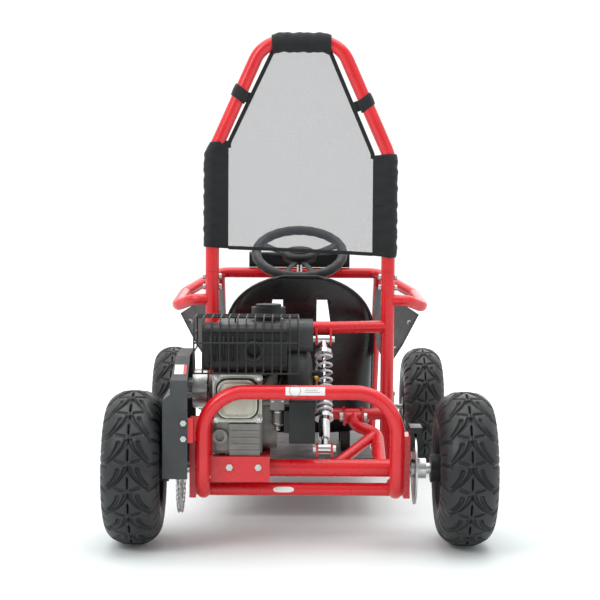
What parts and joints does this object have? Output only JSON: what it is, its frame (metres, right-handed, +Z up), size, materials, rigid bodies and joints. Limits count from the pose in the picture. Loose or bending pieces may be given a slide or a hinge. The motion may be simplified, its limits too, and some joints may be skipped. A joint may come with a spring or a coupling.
{
  "type": "kart chassis",
  "caption": "Child's off-road kart: tubular frame with roll hoop, bucket seat, sprung rear subframe with engine and chain drive, steering and knobby tyres.",
  "frame": {"origin": "middle of the box that holds the kart, on the floor", "axes": "+X right as seen from behind, +Y forward, +Z up"},
  "size_m": [0.888, 1.4999, 1.194],
  "materials": {
    "frame_red": "gloss powder coat",
    "panel_grey": "satin",
    "gloss_black": "gloss",
    "black_plastic": "matte",
    "black_metal": "satin",
    "mesh": "open mesh",
    "webbing": "woven",
    "zinc": "zinc plated",
    "cast_alloy": "as cast",
    "cover_alloy": "satin",
    "chrome": "polished",
    "spring_silver": "gloss",
    "tyre": "moulded"
  },
  "bodies": {
    "frame": {"floor_frame": "frame_red", "floor_pan": "panel_grey", "roll_posts": "frame_red", "side_hoop": "frame_red", "front_bumper": "frame_red", "front_axle_beam": "frame_red", "roll_hoop": "frame_red", "frame_bolts": "zinc", "seat": "gloss_black", "side_panel_left": "panel_grey", "side_panel_right": "panel_grey", "dash_box": "black_plastic", "net_panel": "mesh", "net_sleeve_left": "webbing", "net_sleeve_right": "webbing", "net_sleeve_top": "webbing", "net_straps": "webbing", "pivot_bolt": "zinc"},
    "swing_frame": {"rear_hoop": "frame_red", "swing_arm": "frame_red", "axle_bearings": "zinc", "engine_mount": "frame_red", "swing_bolts": "zinc", "crankcase": "cast_alloy", "cylinder_block": "cast_alloy", "valve_cover": "cover_alloy", "carburettor": "cast_alloy", "air_box": "black_plastic", "recoil_housing": "black_plastic", "fuel_tank": "panel_grey", "muffler": "black_metal", "muffler_guard": "black_metal", "chain_guard": "panel_grey", "chain": "zinc", "brake_caliper": "black_metal"},
    "rear_wheelset": {"rear_axle": "zinc", "axle_sprocket": "zinc", "brake_disc": "zinc", "rear_rims": "black_metal", "rear_tyre_left": "tyre", "rear_tyre_right": "tyre"},
    "clutch": {"clutch_drum": "zinc"},
    "shock_upper": {"shock_rod": "chrome", "shock_spring": "spring_silver"},
    "shock_lower": {"shock_damper": "chrome"},
    "steering": {"steering_wheel": "black_plastic", "steering_shaft": "zinc"},
    "knuckle_left": {"knuckle_left": "zinc"},
    "knuckle_right": {"knuckle_right": "zinc"},
    "tie_rod_left": {"tie_rod_left": "zinc"},
    "tie_rod_right": {"tie_rod_right": "zinc"},
    "front_wheel_left": {"front_rim_left": "black_metal", "front_tyre_left": "tyre"},
    "front_wheel_right": {"front_rim_right": "black_metal", "front_tyre_right": "tyre"},
    "throttle_pedal": {"throttle_pedal": "black_plastic"},
    "brake_pedal": {"brake_pedal": "black_plastic"},
    "recoil_handle": {"recoil_handle": "black_plastic"},
    "fuel_cap": {"fuel_cap": "black_plastic"}
  },
  "joints": [
    {"name": "swing_pivot", "type": "hinge", "parent": "frame", "child": "swing_frame", "pos_m": [0, -0.3475, 0.262], "axis": [1, 0, 0], "range_deg": [-4, 3], "stiffness_Nm_per_rad": 6000},
    {"name": "rear_axle_spin", "type": "hinge", "parent": "swing_frame", "child": "rear_wheelset", "pos_m": [0, -0.5725, 0.1775], "axis": [1, 0, 0], "continuous": true},
    {"name": "clutch_spin", "type": "hinge", "parent": "swing_frame", "child": "clutch", "pos_m": [-0.271, -0.4625, 0.345], "axis": [1, 0, 0], "continuous": true},
    {"name": "shock_tilt", "type": "hinge", "parent": "frame", "child": "shock_upper", "pos_m": [0.057, -0.3675, 0.452], "axis": [1, 0, 0], "range_deg": [-4, 3]},
    {"name": "shock_travel", "type": "slide", "parent": "shock_upper", "child": "shock_lower", "axis": [0, -0.5956, -0.8033], "range_m": [-0.016, 0.016], "deforming": ["shock_spring"]},
    {"name": "steering_turn", "type": "hinge", "parent": "frame", "child": "steering", "pos_m": [0, 0.0275, 0.645], "axis": [0, -0.5, 0.866], "range_deg": [-40, 40]},
    {"name": "knuckle_turn_left", "type": "hinge", "parent": "frame", "child": "knuckle_left", "pos_m": [-0.27, 0.4795, 0.175], "axis": [0, 0, 1], "range_deg": [-18.5, 18.5]},
    {"name": "tie_rod_swivel_left", "type": "hinge", "parent": "knuckle_left", "child": "tie_rod_left", "pos_m": [-0.27, 0.3795, 0.175], "axis": [0, 0, 1], "range_deg": [-18.5, 18.5]},
    {"name": "front_spin_left", "type": "hinge", "parent": "knuckle_left", "child": "front_wheel_left", "pos_m": [-0.365, 0.4795, 0.175], "axis": [1, 0, 0], "continuous": true},
    {"name": "knuckle_turn_right", "type": "hinge", "parent": "frame", "child": "knuckle_right", "pos_m": [0.27, 0.4795, 0.175], "axis": [0, 0, 1], "range_deg": [-18.5, 18.5]},
    {"name": "tie_rod_swivel_right", "type": "hinge", "parent": "knuckle_right", "child": "tie_rod_right", "pos_m": [0.27, 0.3795, 0.175], "axis": [0, 0, 1], "range_deg": [-18.5, 18.5]},
    {"name": "front_spin_right", "type": "hinge", "parent": "knuckle_right", "child": "front_wheel_right", "pos_m": [0.365, 0.4795, 0.175], "axis": [1, 0, 0], "continuous": true},
    {"name": "throttle_press", "type": "hinge", "parent": "frame", "child": "throttle_pedal", "pos_m": [0.095, 0.4045, 0.18], "axis": [1, 0, 0], "range_deg": [-20, 0], "stiffness_Nm_per_rad": 4, "springref_deg": 8.59},
    {"name": "brake_press", "type": "hinge", "parent": "frame", "child": "brake_pedal", "pos_m": [-0.095, 0.4045, 0.18], "axis": [1, 0, 0], "range_deg": [-20, 0], "stiffness_Nm_per_rad": 6, "springref_deg": 8.59},
    {"name": "recoil_pull", "type": "slide", "parent": "swing_frame", "child": "recoil_handle", "axis": [1, 0, 0], "range_m": [0, 0.06], "stiffness_N_per_m": 60, "springref_m": -0.01},
    {"name": "fuel_cap_turn", "type": "hinge", "parent": "swing_frame", "child": "fuel_cap", "pos_m": [-0.075, -0.4445, 0.52], "axis": [0, 0, 1], "range_deg": [0, 90]}
  ],
  "couplings": [
    {"joint": "clutch_spin", "follows": "rear_axle_spin", "ratio": 3},
    {"joint": "shock_tilt", "follows": "swing_pivot", "ratio": 0.52109},
    {"joint": "shock_travel", "follows": "swing_pivot", "m_per_rad": 0.12924},
    {"joint": "knuckle_turn_left", "follows": "steering_turn", "ratio": 0.45},
    {"joint": "tie_rod_swivel_left", "follows": "steering_turn", "ratio": -0.45},
    {"joint": "knuckle_turn_right", "follows": "steering_turn", "ratio": 0.45},
    {"joint": "tie_rod_swivel_right", "follows": "steering_turn", "ratio": -0.45}
  ]
}
